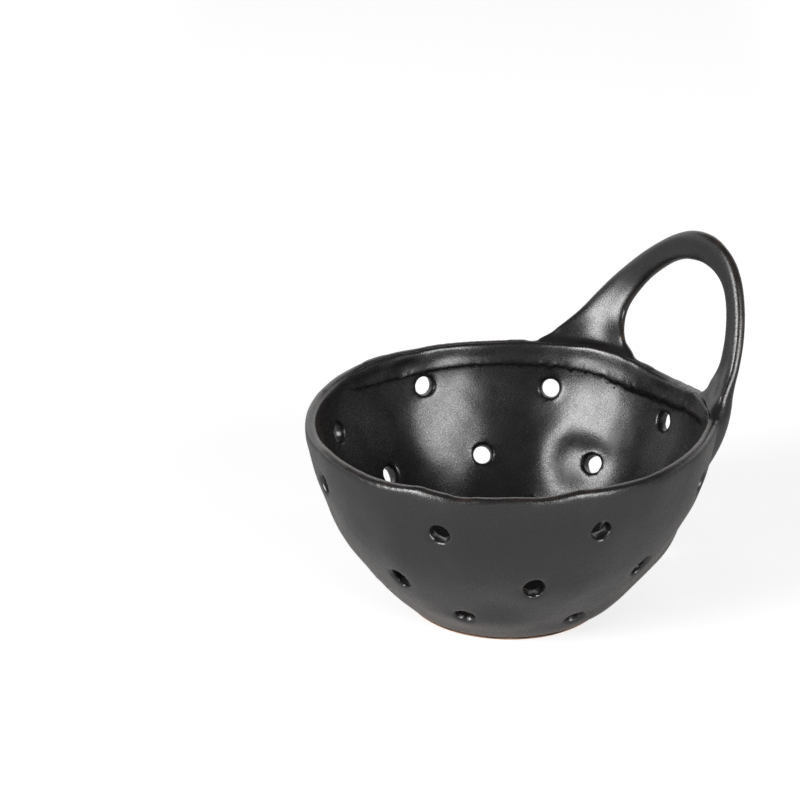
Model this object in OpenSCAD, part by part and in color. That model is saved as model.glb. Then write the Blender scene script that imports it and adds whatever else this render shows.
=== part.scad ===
// Berry colander bowl: a small hand-made stoneware bowl with drain holes all
// round, a bare clay foot, a strap handle that stands up from one side of the
// rim as a tall open loop, and a strip of clay pressed inside the rim there.
// Millimetres. +Z is up and is the bowl's axis, the handle is on the +X side,
// and the origin is the middle of the face that the foot stands on.

/* [Bowl] */
// Diameter over the rim
bowl_d = 140; // [120:1:165]
// Height of the rim above the table
bowl_h = 69; // [58:1:82]
// Thickness of the wall
wall_t = 4; // [3:0.25:5]
// Thickness of the floor above the foot
floor_t = 5; // [4:0.25:7]
// How full the belly of the bowl is
belly = 2; // [1.7:0.05:2.6]
// How much the rim rises towards the handle and falls away from it
rim_rise = 0.9; // [0:0.1:1.5]
// Height of the ripples along the rim
rim_ripple = 0.6; // [0:0.1:1]
// Depth of the finger dents in the wall
dent_depth = 1.3; // [0:0.1:1.8]
// Reach of a finger dent from its middle
dent_reach = 12; // [9:0.5:15]

/* [Foot] */
// Diameter of the bare clay foot
foot_d = 69; // [60:1:74]
// Height of the bare clay foot
foot_h = 1.2; // [0.8:0.1:2.5]
// How far the glazed wall overhangs the foot
foot_inset = 0.7; // [0.3:0.1:1.5]
// Width of the worn bevel at the foot's lower edge
foot_bevel = 0.5; // [0.2:0.1:0.7]

/* [Drain holes] */
// Diameter of a drain hole
hole_d = 7; // [5:0.25:8.5]
// Number of drain holes in each row round the wall
holes_around = 8; // [6:1:10]
// Number of drain holes in the floor, round the middle
floor_holes = 6; // [4:1:7]
// Diameter of the circle that the floor's drain holes lie on
floor_ring_d = 36; // [28:1:42]

/* [Handle] */
// Height of the middle of the strap's arch above the rim
loop_rise = 46; // [38:1:55]
// Distance between the middles of the strap's two legs
loop_span = 68; // [56:1:76]
// Width of the strap
strap_w = 9; // [7.5:0.5:11]
// Thickness of the strap
strap_t = 4.4; // [3.5:0.1:5.5]
// How far the middle of the strap stands outside the rim
loop_stand = 3.4; // [2.5:0.1:4.5]
// How much farther out the top of the loop stands than its legs
loop_lean = 5; // [0:0.5:10]
// Length of the clay tongue that each leg leaves on the outside of the wall
tongue_l = 28; // [22:1:34]

/* [Rim strip] */
// Height of the clay strip inside the rim
strip_h = 6.5; // [5:0.5:9]
// Thickness of the clay strip
strip_t = 1.4; // [1:0.1:2]

/* [Hidden] */

glaze_colour = [0.13, 0.125, 0.125];
clay_colour = [0.74, 0.56, 0.42];

// Space left between two pieces whose curved faces meet at a luted seam
seam_gap = 0.12;
// How far a cut runs past the face that it opens
overrun = 2;

bowl_r = bowl_d / 2;
base_r = foot_d / 2 + foot_inset;
floor_z = foot_h + floor_t;
lip_r = wall_t / 2;

// Steps round the bowl, up the outside, down the inside, over the lip
// and through the curve at the edge of the floor
around = 64;
outer_steps = 15;
inner_steps = 12;
lip_steps = 4;
cove_steps = 4;
// Rows crowd towards the foot, where the wall curves most
row_crowding = 1.25;

// Size of the curve between wall and floor, as shares of the floor's thickness
cove_rise_share = 1.2;
cove_run_share = 1.6;

// Ripples along the rim: waves round the bowl, phase in degrees, share of height
ripples = [[5, 40, 0.7], [9, 200, 0.5], [14, 75, 0.35]];
// Angle each side of the handle's middle where the rim has no ripple
calm_angle = 45;
// Angle over which the ripple grows to its full height
calm_blend_angle = 30;

// Finger dents: angle, height as a share of the bowl's, reach and depth as
// shares of dent_reach and dent_depth, outwards where the depth is positive
dents = [
    [24.5, 0.45, 0.9, -1.4],
    [82.5, 0.39, 0.75, -0.9],
    [88, 0.69, 0.85, -1.1],
    [147, 0.74, 1.4, -0.9],
    [172, 0.25, 1.4, 0.8],
    [-155, 0.50, 1.2, 0.5],
    [-128, 0.30, 1.2, -0.9],
    [-100, 0.40, 1.2, 0.5],
    [-70, 0.33, 1.3, -0.7],
    [-45, 0.30, 1.7, 1.1],
    [55, 0.62, 0.9, -0.5]
];

// Share of the bowl's height over which a dent dies out, and the height share
// above which the wall under the handle is smooth
dent_fade_share = 0.16;
tongue_share = 0.48;

// Rows of drain holes: first angle, height as a share of the bowl's, how far
// each hole in turn was poked off its even place, in degrees, and how far off
// the row's height, as a share of the hole's diameter
hole_rows = [
    [-5, 0.779, [0, 1, -2, -5, 1, -4, -4, -3], [-0.15, -0.2, 0.15, -0.4, 0.15, 0.1, 0.2, 0.05]],
    [18.5, 0.428, [0, 1, -2, 0, -1, 0, -4, 0], [0, -0.1, -0.1, 0.1, -0.15, 0.3, 0.15, -0.1]],
    [-5, 0.192, [0, 2, -1, 1, -2, -2, 2, 0], [0.1, -0.1, 0, 0.15, -0.1, 0.35, -0.35, 0.1]]
];

// Middle line of the strap from the tip of one tongue over the arch to the tip
// of the other: places across as shares of half the span, and up as shares of
// the rise, or of the tongue's length where they are below the rim
loop_side_shares = [
    0.94, 1.03, 1.05, 1.07, 0.99, 0.81, 0.48, 0.04,
    -0.32, -0.59, -0.83, -0.955, -1.005, -1.03, -1.0, -0.91
];
loop_up_shares = [
    -1, -0.46, -0.04, 0.17, 0.39, 0.60, 0.82, 0.98,
    0.995, 0.90, 0.675, 0.44, 0.23, -0.04, -0.46, -1
];
// Width and thickness along the same line, as shares of the strap's own
width_shares = [
    1, 2.3, 3.2, 1.88, 1.4, 1.1, 0.97, 1.08,
    1.14, 0.98, 0.82, 0.87, 1.07, 2.15, 2, 1
];
thick_shares = [
    0.3, 1.2, 1.7, 1.25, 1.05, 1, 1, 1,
    1, 1, 1, 1.05, 1.2, 1.7, 1.2, 0.3
];
// Roundness of the section there, 2 for an ellipse and more for a square strap
section_powers = [2, 2, 2, 2.3, 2.6, 2.8, 2.8, 2.8, 2.8, 2.8, 2.8, 2.6, 2.3, 2, 2, 2];
loop_steps = 4;
section_steps = 14;
// The strap's edges lean back to the rim at its roots, up to this share of the rise
hug_share = 0.3;

// Angles at which the strip inside the rim starts and ends
strip_from_angle = -33;
strip_to_angle = 113;
strip_steps = 44;
// The strip's height and thickness at its tips, as a share of the full ones
strip_tip_share = 0.35;
// Share of the strip's length over which each tip runs out
strip_runout_share = 0.12;

function clamp(x, low, high) = min(max(x, low), high);
function smooth(x) = let (c = clamp(x, 0, 1)) c * c * (3 - 2 * c);
function wrap(a) = a - 360 * floor((a + 180) / 360);

// Height of the rim at angle a
function ripple_fade(a) = smooth((abs(wrap(a)) - calm_angle) / calm_blend_angle);
function ripple_sum(a) = [for (r = ripples) sin(r[0] * a + r[1]) * r[2]] * [for (r = ripples) 1];
function rim_z(a) = bowl_h + rim_rise * cos(a) + rim_ripple * ripple_fade(a) * ripple_sum(a);

// Outer radius at height share t, and how far it grows per unit of height
function outer_r(t) = base_r + (bowl_r - base_r) * (1 - pow(1 - clamp(t, 0, 1), belly));
function outer_slope(t) = (bowl_r - base_r) * belly * pow(1 - clamp(t, 0, 1), belly - 1) / bowl_h;
function inner_r(t) = outer_r(t) - wall_t * sqrt(1 + pow(outer_slope(t), 2));

// Push of all finger dents on the wall at angle a and height share t. It dies
// out at the foot and at the rim, and above tongue_share under the handle.
function dent_here(d, a, t) =
    let (across = wrap(a - d[0]) * PI / 180 * outer_r(t) / (dent_reach * d[2]))
    let (up = (t - d[1]) * bowl_h / (dent_reach * d[2]))
    d[3] * exp(-(across * across + up * up));
function dent_sum(a, t) = [for (d = dents) dent_here(d, a, t)] * [for (d = dents) 1];
function dent_fade(a, t) =
    smooth(t / dent_fade_share) * smooth((1 - t) / dent_fade_share)
        * (1 - (1 - ripple_fade(a)) * smooth((t - tongue_share) / dent_fade_share));
function dent(a, t) = dent_depth * dent_sum(a, t) * dent_fade(a, t);

// Height share of outer row i, and the places of all rows as [radius, z] at
// angle a, from the edge of the base over the lip to the edge of the floor
function row_share(i) = pow(i / outer_steps, row_crowding);
function outer_row(i, a) =
    let (t = row_share(i), top = rim_z(a) - lip_r)
    [outer_r(t) + dent(a, t), foot_h + t * (top - foot_h)];
function lip_row(i, a) =
    let (turn = 180 * i / lip_steps)
    [bowl_r - lip_r + lip_r * cos(turn), rim_z(a) - lip_r + lip_r * sin(turn)];
cove_rise = floor_t * cove_rise_share;
cove_run = floor_t * cove_run_share;
cove_t = (floor_z + cove_rise - foot_h) / (bowl_h - foot_h);
function inner_row(i, a) =
    let (t = 1 - (1 - cove_t) * i / inner_steps, top = rim_z(a) - lip_r)
    let (z = foot_h + t * (top - foot_h))
    [inner_r(t) + dent(a, t), z];
function cove_row(i, a) =
    let (s = i / cove_steps, start = inner_row(inner_steps, a))
    let (corner = [start[0] - cove_rise, floor_z], end = [start[0] - cove_rise - cove_run, floor_z])
    start * pow(1 - s, 2) + corner * (2 * s * (1 - s)) + end * pow(s, 2);
function wall_rows(a) = concat(
    [for (i = [0:outer_steps]) outer_row(i, a)],
    [for (i = [1:lip_steps - 1]) lip_row(i, a)],
    [for (i = [0:inner_steps]) inner_row(i, a)],
    [for (i = [1:cove_steps]) cove_row(i, a)]
);

// Faces of a tube of n rings of m points, with a fan at each end
function tube_faces(n, m) = concat(
    [for (i = [0:n - 2]) for (j = [0:m - 1])
        [i * m + j, i * m + (j + 1) % m, (i + 1) * m + (j + 1) % m]],
    [for (i = [0:n - 2]) for (j = [0:m - 1])
        [i * m + j, (i + 1) * m + (j + 1) % m, (i + 1) * m + j]],
    [for (j = [0:m - 1]) [n * m, (j + 1) % m, j]],
    [for (j = [0:m - 1]) [n * m + 1, (n - 1) * m + j, (n - 1) * m + (j + 1) % m]]
);
// The faces above look outwards where each ring runs clockwise as seen from
// the last ring, and this turns them round for the other case
function flipped(faces) = [for (f = faces) [f[2], f[1], f[0]]];

module wall_solid() {
    columns = [for (j = [0:around - 1]) wall_rows(360 * j / around)];
    rows = len(columns[0]);
    points = concat(
        [for (i = [0:rows - 1]) for (j = [0:around - 1])
            let (a = 360 * j / around, p = columns[j][i]) [p[0] * cos(a), p[0] * sin(a), p[1]]],
        [[0, 0, foot_h], [0, 0, floor_z]]
    );
    polyhedron(points, flipped(tube_faces(rows, around)), convexity = 6);
}

// One drain hole, square to the wall at angle a and height share t
module wall_hole(a, t) {
    middle = (outer_r(t) + inner_r(t)) / 2;
    rotate([0, 0, a])
        translate([middle, 0, foot_h + t * (bowl_h - foot_h)])
            rotate([0, 90 + atan(outer_slope(t)), 0])
                cylinder(d = hole_d, h = 2 * wall_t + 2 * dent_depth + overrun, center = true, $fn = 32);
}

module wall_holes() {
    for (row = hole_rows)
        for (i = [0:holes_around - 1]) {
            nudge = row[2][i % len(row[2])];
            lift = row[3][i % len(row[3])] * hole_d / bowl_h;
            wall_hole(row[0] + 360 * i / holes_around + nudge, row[1] + lift);
        }
}

module floor_drains() {
    for (i = [0:floor_holes - 1])
        rotate([0, 0, 360 * i / floor_holes])
            translate([floor_ring_d / 2, 0, -overrun])
                cylinder(d = hole_d, h = floor_z + 2 * overrun, $fn = 32);
}

module bowl_wall() {
    color(glaze_colour)
        difference() {
            wall_solid();
            wall_holes();
            floor_drains();
        }
}

module foot() {
    color(clay_colour)
        difference() {
            rotate_extrude($fn = 96)
                polygon([
                    [0, 0],
                    [foot_d / 2 - foot_bevel, 0],
                    [foot_d / 2, foot_bevel],
                    [foot_d / 2, foot_h],
                    [0, foot_h]
                ]);
            floor_drains();
        }
}

// Place on the strap's middle surface, u across, v above the rim and b out
// from it. Below the rim the surface follows the wall, and it flattens as it
// rises to the arch.
rim_top = bowl_h + rim_rise;
function surface_r(v) =
    v < 0
        ? outer_r(1 + v / bowl_h) + loop_stand * max(0, 1 + v / tongue_l)
        : bowl_r + loop_stand + loop_lean * v / loop_rise;
function strap_point(u, v, b) =
    let (k = 1 - clamp(v / loop_rise, 0, 1), r = surface_r(v))
    let (bend = asin(clamp(k * u / r, -1, 1)))
    let (x = r - k * (r - sqrt(r * r - u * u)))
    [x + b * cos(bend), u + b * sin(bend), rim_top + v - b * loop_lean / loop_rise];

// Value at s of a smooth curve through a list, one item per unit of s
function curve(list, s) =
    let (last = len(list) - 1, i = min(floor(s), last - 1), f = s - i)
    let (p = list[max(i - 1, 0)], q = list[i], r = list[i + 1], w = list[min(i + 2, last)])
    q + f * (r - p) / 2 + f * f * (2 * p - 5 * q + 4 * r - w) / 2 + f * f * f * (3 * q - p - 3 * r + w) / 2;

loop_stations = len(loop_side_shares) - 1;
loop_rings = loop_stations * loop_steps;
half_span = loop_span / 2;
function loop_side(s) = half_span * curve(loop_side_shares, s);
function loop_up(s) = let (share = curve(loop_up_shares, s)) share * (share < 0 ? tongue_l : loop_rise);
function rounded(x, power) = sign(x) * pow(abs(x), 2 / power);
// How far the strap's edge leans back towards the middle of the rim's lip at v
function hug(v) = (loop_stand + lip_r / 2) * smooth(1 - v / (hug_share * loop_rise));

module loop_solid() {
    slope_step = 0.05;
    points = [
        for (n = [0:loop_rings])
            let (s = n / loop_steps, before = max(s - slope_step, 0), after = min(s + slope_step, loop_stations))
            let (du = loop_side(after) - loop_side(before), dv = loop_up(after) - loop_up(before))
            let (length = norm([du, dv]), power = curve(section_powers, s))
            let (half_w = strap_w * curve(width_shares, s) / 2, half_t = strap_t * curve(thick_shares, s) / 2)
            for (j = [0:section_steps - 1])
                let (turn = 360 * j / section_steps)
                let (across = rounded(cos(turn), power), out = half_t * rounded(sin(turn), power))
                let (u = loop_side(s) - half_w * across * dv / length)
                let (v = loop_up(s) + half_w * across * du / length)
                strap_point(u, v, out - hug(v) * across * across)
    ];
    tips = [for (s = [0, loop_stations]) strap_point(loop_side(s), loop_up(s), 0)];
    polyhedron(concat(points, tips), tube_faces(loop_rings + 1, section_steps), convexity = 8);
}

// Everything inside the wall's outer face, up to the top of the rim
module bowl_envelope() {
    rotate_extrude($fn = 128)
        polygon(concat(
            [[0, foot_h]],
            [for (i = [0:outer_steps])
                [outer_r(row_share(i)) + seam_gap, foot_h + row_share(i) * (rim_top - lip_r - foot_h)]],
            [for (i = [1:lip_steps / 2])
                [bowl_r - lip_r + (lip_r + seam_gap) * cos(180 * i / lip_steps),
                    rim_top - lip_r + (lip_r + seam_gap) * sin(180 * i / lip_steps)]],
            [[0, rim_top + seam_gap]]
        ));
}

module handle_loop() {
    color(glaze_colour)
        difference() {
            loop_solid();
            bowl_envelope();
        }
}

// Section of the strip at share s of its length, as points in one upright
// plane: two against the wall and three on the rounded face
function strip_section(s) =
    let (a = strip_from_angle + (strip_to_angle - strip_from_angle) * s)
    let (full = smooth(min(s, 1 - s) / strip_runout_share))
    let (share = strip_tip_share + (1 - strip_tip_share) * full)
    let (t = strip_t * share, h = strip_h * share, top = rim_z(a) - lip_r)
    [for (p = [[0, 0], [0.55, 0.05], [1, 0.3], [1, 0.75], [0.6, 1], [0, 1], [0, 0.5]])
        let (z = top - h * p[1], height_share = (z - foot_h) / (top - foot_h))
        let (r = inner_r(height_share) + dent(a, height_share) - seam_gap - t * p[0])
        [r * cos(a), r * sin(a), z]];

module rim_strip() {
    sections = [for (i = [0:strip_steps]) strip_section(i / strip_steps)];
    m = len(sections[0]);
    middles = [for (s = [sections[0], sections[strip_steps]])
        [for (p = s) 1] * s / m];
    color(glaze_colour)
        polyhedron(concat([for (s = sections) each s], middles),
            tube_faces(strip_steps + 1, m), convexity = 4);
}

bowl_wall();
foot();
handle_loop();
rim_strip();
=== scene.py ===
from math import asin, atan, atan2, cos, exp, hypot, pi, radians, sin, sqrt

import bmesh
import bpy
import numpy as np
from mathutils import Matrix, Vector, noise
from mathutils.bvhtree import BVHTree
from mathutils.kdtree import KDTree


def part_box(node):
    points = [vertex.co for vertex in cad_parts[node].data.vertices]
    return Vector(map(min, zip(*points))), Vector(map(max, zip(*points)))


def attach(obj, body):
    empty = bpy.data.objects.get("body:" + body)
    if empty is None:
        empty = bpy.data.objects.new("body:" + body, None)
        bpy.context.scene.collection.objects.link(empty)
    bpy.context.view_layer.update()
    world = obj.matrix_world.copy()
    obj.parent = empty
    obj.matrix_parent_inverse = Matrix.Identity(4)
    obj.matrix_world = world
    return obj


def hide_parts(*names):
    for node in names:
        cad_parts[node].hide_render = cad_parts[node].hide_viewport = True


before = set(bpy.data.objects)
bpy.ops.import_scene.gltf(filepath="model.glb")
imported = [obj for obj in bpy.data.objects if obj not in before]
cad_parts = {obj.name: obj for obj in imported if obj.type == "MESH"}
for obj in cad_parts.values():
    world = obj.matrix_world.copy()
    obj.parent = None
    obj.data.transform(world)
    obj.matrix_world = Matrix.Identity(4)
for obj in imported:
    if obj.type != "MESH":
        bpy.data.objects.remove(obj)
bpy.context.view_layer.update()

MM = 0.001

# Main sizes, the same as in the solids. The bowl's axis is Z and the handle
# stands on the +X side.
foot_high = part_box("foot")[1]
BOWL_R = 70.0 * MM
BOWL_H = 69.0 * MM
FOOT_R = foot_high.x
FOOT_H = foot_high.z
WALL_T = 4.0 * MM
FLOOR_Z = FOOT_H + 5.0 * MM
LIP_R = WALL_T / 2
WALL_H = BOWL_H - LIP_R - FOOT_H
BASE_R = FOOT_R + 0.7 * MM
BELLY = 2.0
# The wall thickens inwards by this much from the upper height to the lower one
STOUT = 1.8 * MM
STOUT_FROM = 68.0 * MM
STOUT_FULL = 40.0 * MM
# Inside, the wall curves into the floor: how high over the floor the curve
# starts, and how far in from there its corner and its end lie
COVE_H = 6 * MM
COVE_CORNER = 6 * MM
COVE_END = 14 * MM

# Height of the rim over BOWL_H, in millimetres, at angles in degrees
RIM_WAVE = [
    (-180, -0.7), (-177, -0.7), (-167, -0.9), (-159, -0.4), (-150, 0.7), (-143, -0.1), (-139, -0.7),
    (-132, -0.2), (-123, 0.4), (-116, 0.1), (-112, 0.6), (-106, 1.6), (-98, 1.1), (-91, 0.8),
    (-83, 0.6), (-74, 0.9), (-60, 1.0), (-46, 0.6), (-40, 0.8), (-33, 2.4), (-27, 3.6), (-22, 3.4),
    (-18, 2.2), (-14, 1.1), (-8, 0.1), (-2, -0.5), (4, -0.5), (9, 0.2), (14, 1.1), (20, 2.0),
    (28, 2.2), (36, 1.4), (46, 0.9), (64, 0.3), (78, 0.4), (84, 0.1), (92, 0.5), (100, 0.8),
    (113, 0.1), (125, -0.3), (135, -0.8), (150, -1.1), (162, -1.2), (172, -0.5), (180, -0.7)
]

# Finger dents and bulges: angle in degrees, height share, reach across, reach up
# and push outwards in millimetres, and how flat the middle is
DENTS = [
    (24.5, 0.45, 12.5, 10.5, -2.3, 1.7), (84, 0.33, 16, 14, 1.1, 2), (93.5, 0.60, 12, 9, 1.0, 1.5),
    (6, 0.45, 9, 14, -0.9, 1), (112, 0.70, 4, 12, -0.45, 1), (150, 0.78, 18, 14, -1.2, 1),
    (157, 0.62, 18, 8, -1.3, 1), (160, 0.32, 18, 12, -0.4, 1), (-160, 0.60, 5, 22, 0.6, 1),
    (-155, 0.50, 14, 14, 0.5, 1), (-128, 0.32, 13, 9, -1.1, 1), (-138, 0.16, 16, 5, 0.7, 1),
    (-112, 0.62, 12, 9, -0.6, 1), (-100, 0.40, 14, 10, 0.5, 1), (-96, 0.14, 9, 5, -0.9, 1),
    (-78, 0.12, 6, 5, 0.6, 1), (-70, 0.36, 15, 12, -0.6, 1), (-40, 0.64, 5, 20, -0.3, 1),
    (-43, 0.53, 16, 6, -1.0, 1), (-48, 0.32, 14, 7, 1.0, 1), (-56, 0.08, 34, 7, 0.7, 1),
    (-140, 0.72, 6, 14, 0.6, 1), (55, 0.62, 11, 11, -0.5, 1)
]
# Shares of the height over which the dents fade out at the rim and at the foot
FADE_AT_RIM = 0.13
FADE_AT_FOOT = 0.06
# Under the handle the wall has no dents above this share of its height, out to
# this angle, with a blend beyond it
TONGUE_SHARE = 0.48
CALM_ANGLE = 45
CALM_BLEND = 30
# Hand marks, and finer ones: how many times finer, their share of the depth, and
# another place in the noise
MARK_SIZE = 15 * MM
MARK_DEPTH = 0.6 * MM
FINE_MARKS = 2.3
FINE_SHARE = 0.3
FINE_PLACE = Vector((9, 4, 2))

# Rows of drain holes: first angle, height share, and for each hole in turn
# how far it was poked off its even place in degrees, and off the row in hole
# diameters
HOLE_D = 7.0 * MM
HOLES_AROUND = 8
HOLE_ROWS = [
    (-5, 0.779, (0, 1, -2, -5, -5, -4, -4, -3), (-0.15, -0.2, 0.15, -0.4, 0.15, 0.1, 0.2, 0.05)),
    (18.5, 0.428, (0, 1, -2, 0, -1, 0, -4, 0), (0, -0.1, -0.1, 0.1, -0.15, 0.3, 0.15, -0.1)),
    (-5, 0.192, (0, 2, -1, 1, -2, -2, 2, 0), (0.1, -0.1, 0, 0.15, -0.1, 0.35, -0.35, 0.1))
]
# Holes that were poked more level than the rest, as (row, hole): how level, and
# how tall for their width
LEVEL_POKES = {
    (0, 4): (0.5, 1), (0, 5): (0.5, 0.95), (1, 4): (1, 1.15), (1, 5): (1, 1.2),
    (1, 6): (1, 1.15), (2, 4): (1, 0.8)
}
FLOOR_HOLES = 6
FLOOR_RING_R = 18 * MM
DRILL_SIDES = 32
WALL_DRILL_L = 4 * WALL_T
FLOOR_DRILL_L = 6 * WALL_T

# The handle's strap: rise of its arch, thickness, how far it stands out from the
# rim and leans out beyond that, reach of its tongues down the wall, and the share
# of the rise over which its edges hug the bowl, by how much
LOOP_RISE = 46.0 * MM
STRAP_T = 4.4 * MM
LOOP_STAND = 3.4 * MM
LOOP_LEAN = 5.0 * MM
TONGUE_L = 28.0 * MM
HUG_SHARE = 0.3
HUG = LOOP_STAND + LIP_R / 2
RIM_TOP = BOWL_H + 0.9 * MM
# Its two edges, at the same stations from the tip of one tongue over the arch to
# the tip of the other, as millimetres across and up from the rim
LOOP_OUTER = [
    (35, -28), (45, -13), (53, -1.2), (49.4, 3), (45.4, 9), (41.4, 17.3), (36.4, 25.2),
    (28.4, 33.8), (19.1, 41.1), (9.4, 47.1), (-0.1, 50.8), (-10, 51.3), (-19.2, 47.7),
    (-26.2, 41.2), (-32, 31.7), (-36.4, 21.2), (-38.7, 12.1), (-41.5, 4.1), (-44.5, -2),
    (-43.5, -14), (-35, -32)
]
LOOP_INNER = [
    (29, -28), (24, -13), (17.5, -1), (23.2, 3), (27.2, 8.1), (28.6, 13.5), (26.1, 20.5),
    (20.7, 27.9), (12.4, 34.8), (5, 38.8), (-2, 40.7), (-8.5, 41), (-15.1, 39.4),
    (-20.4, 35.8), (-24.4, 29.3), (-27.3, 20.5), (-28.1, 12.2), (-29.2, 5.2), (-28, -1),
    (-26, -14), (-28, -32)
]
# At each station, thickness as a share of STRAP_T and how square the section is
LOOP_THICK = [0, 1.1, 1.3, 1.2, 1.1, 1.05, 1, 1, 1, 1, 1, 1, 1, 1, 1, 1.05, 1.15, 1.5, 2.0, 1.45, 0]
LOOP_POWER = [
    2, 2, 2, 2.4, 2.9, 3.2, 3.2, 3.2, 3.2, 3, 2.8, 2.8, 2.8, 2.8, 2.8, 2.8, 2.6, 2.3, 2, 2, 2]
# How far the strap stands out past its even lean, in millimetres
LOOP_BOW = [0, 0, 0, 0.6, 1.4, 2.1, 2.4, 2, 1.2, 0.5, 0, 0, 0, 0, 0, 0, 0, -0.5, -1.0, -0.5, 0]
# Which share of the hug the strap's outer edge takes
OUTER_HUG = [1, 1, 1, 1, 1, 1, 1, 1, 1, 1, 1, 1, 1, 1, 1, 1, 0.7, 0.4, 0.35, 0.7, 1]
# A groove pressed along the right leg: its depth as a share of the section, its
# place round the section and its half width in degrees
LOOP_GROOVE = [
    0, 0, 0, 0, 0, 0, 0, 0, 0, 0, 0, 0, 0.02, 0.03, 0.04, 0.05, 0.05, 0.05, 0.03, 0, 0]
GROOVE_TURN = 318
GROOVE_WIDTH = 7
# Where the lip is drawn outwards into the right leg: angle and half reach in
# degrees, by how much, and over which share of the height
PULL_ANGLE = -36
PULL_REACH = 8
PULL_OUT = 1.5 * MM
PULL_SHARE = 0.22

# The strip pressed inside the rim, between two angles. Height of its torn lower
# edge, in millimetres over the table, at angles in degrees
STRIP_FROM = -37
STRIP_TO = 118
STRIP_EDGE = [
    (-37, 67.0), (-27, 65.4), (-18, 63.9), (-8, 61.3), (0, 60.4), (11, 59.9), (17, 60.5), (23, 61.0),
    (30, 61.6), (45, 61.4), (60, 61.2), (75, 61.0), (90, 60.6), (100, 61.2), (108, 62.0), (118, 64.5)
]
# Its section, as millimetres proud of the wall and down from the rim, for an
# edge as deep as STRIP_DEPTH. The lower edge is below LOW_FROM.
STRIP_SECTION = [
    (-1.2, 0.45), (-0.85, 0.20), (-0.2, 0.42), (0.4, 1.1), (0.7, 2.4), (0.95, 4.0), (1.2, 5.4),
    (1.25, 6.4), (0.95, 7.1), (0.1, 7.2), (-1.1, 6.4), (-2.2, 3.0)
]
STRIP_DEPTH = 7.0
LOW_FROM = 5.0
LOW_BLEND = 2
# At its ends it thins over this angle to this share, and sinks by this much
STRIP_TIP = 14
TIP_PROUD = 0.35
TIP_SINK = 0.5
# Its edge is most torn round one angle, and smeared soft beyond another one
TORN_ANGLE = 20
TORN_REACH = 50
SMEARED_FROM = 70
TEAR_BLEND = 25
# Noise of the tears and of finer ones: steps per degree, place in the noise, and
# the finer ones' share
TEAR_STEPS = 0.42
TEAR_PLACE = 5.1
FINE_TEAR_STEPS = 1.3
FINE_TEAR_PLACE = 9.4
FINE_TEAR_SHARE = 0.5
# How far the tears lift the edge and push it inwards, in millimetres: anywhere,
# and how much more where it is torn or smeared
TEAR_LIFT = 0.3
TORN_LIFT = 0.6
SMEARED_LIFT = 0.2
TEAR_PROUD = 0.15
TORN_PROUD = 0.15
# Lumps of its face: noise steps per degree and per millimetre, place in the
# noise, height in millimetres, how much higher they are where the strip is
# smeared, and by which share it is thinner there
LUMP_STEPS = (0.11, 0.25)
LUMP_PLACE = 3.7
LUMP_PROUD = 0.25
SMEARED_LUMPS = 0.5
SMEARED_THIN = 0.35
# Painted shade under the strip's torn edge, where the glaze loses its shine: its
# width in millimetres, the angle below which it widens, how ragged it is, the
# blends at its upper and lower edge, and the radius below which skin belongs to the wall's inner face
SHADE_THIN = 1.2
SHADE_WIDE = 2.6
SHADE_TURN = 28
SHADE_BLEND = 14
SHADE_RAGGED = 0.6
SHADE_ABOVE = 0.4
SHADE_BELOW = 0.7
SHADE_INSIDE = BOWL_R - 0.6 * WALL_T
# Smears of slip below the torn edge: angle, height in millimetres, half length,
# half height and thickness in millimetres, and tilt in degrees
SLIP_SMEARS = [
    (28.5, 60.2, 1.6, 0.35, 0.3, 8), (25.0, 59.6, 2.2, 0.3, 0.28, 5), (31.5, 59.2, 2.6, 0.3, 0.25, 3),
    (21.5, 59.0, 1.2, 0.45, 0.4, 12), (34.5, 60.3, 1.1, 0.4, 0.35, 0), (18.5, 57.9, 0.5, 0.5, 0.45, 0),
    (12.0, 51.8, 0.4, 0.4, 0.35, 0), (104.0, 49.6, 0.45, 0.4, 0.35, 0), (115.0, 50.3, 1.6, 0.4, 0.35, 20)
]

# The foot: places of its worn edge, in bevels in from its side and up, and how
# far out of true it is, with noise steps per metre
FOOT_BEVEL = 0.5 * MM
FOOT_EDGE = [(2, 0), (1, 0.1), (0.2, 0.5), (0, 1)]
FOOT_WOBBLE = 0.004
WOBBLE_STEPS = 60

# Numbers of rows and steps of the meshes
AROUND = 200
WALL_ROWS = 44
LIP_ROWS = 14
COVE_ROWS = 14
STATION_STEPS = 8
SECTION_STEPS = 72
STRIP_STEPS = 260
STRIP_PLACE_STEPS = 4
# How square the lip is
LIP_POWER = 2.9
# Vertices closer than this are one, and those so near to the axis stay on it
MERGE_GAP = 0.002 * MM
AXIS_GAP = 1 * MM
# Tool that parts handle and bowl: its lower end, and how far it reaches past the
# bowl's skin
ENVELOPE_FROM = -5 * MM
SEAM_GROW = 0.3 * MM

# Facets of the fired clay. The handle's are finer, so it is cut from a finer pot
# beyond HANDLE_SIDE.
BOWL_VOXEL = 0.98 * MM
HANDLE_VOXEL = 0.5 * MM
STRIP_VOXEL = 0.35 * MM
HANDLE_SIDE = 22 * MM
# Rounds of smoothing: everywhere and on the strip, and then on plain skin and at
# the handle's roots, for facets of SOFTEN_VOXEL
SOFTEN_FACTOR = 0.5
SOFTEN = 3
STRIP_SOFTEN = 2
PLAIN_SOFTEN = 24
ROOT_SOFTEN = 36
SOFTEN_VOXEL = 0.8 * MM
# Skin is plain beyond EDGE_KEEP from the lip, the strap and every edge that is
# sharper than SHARP. It is a root where bowl and strap are both within
# ROOT_REACH, and fully one where they are nearer, the more so the higher the gain.
SHARP = radians(35)
EDGE_KEEP = 0.8 * MM
ROOT_REACH = 5.0 * MM
ROOT_GAIN = 1.6
# Rounds in which the skin's turn is averaged over neighbours
TURN_ROUNDS = 3


def clamp(x, low=0.0, high=1.0):
    return min(max(x, low), high)


def smooth(x):
    c = clamp(x)
    return c * c * (3 - 2 * c)


def wrap(a):
    return (a + 180) % 360 - 180


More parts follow.
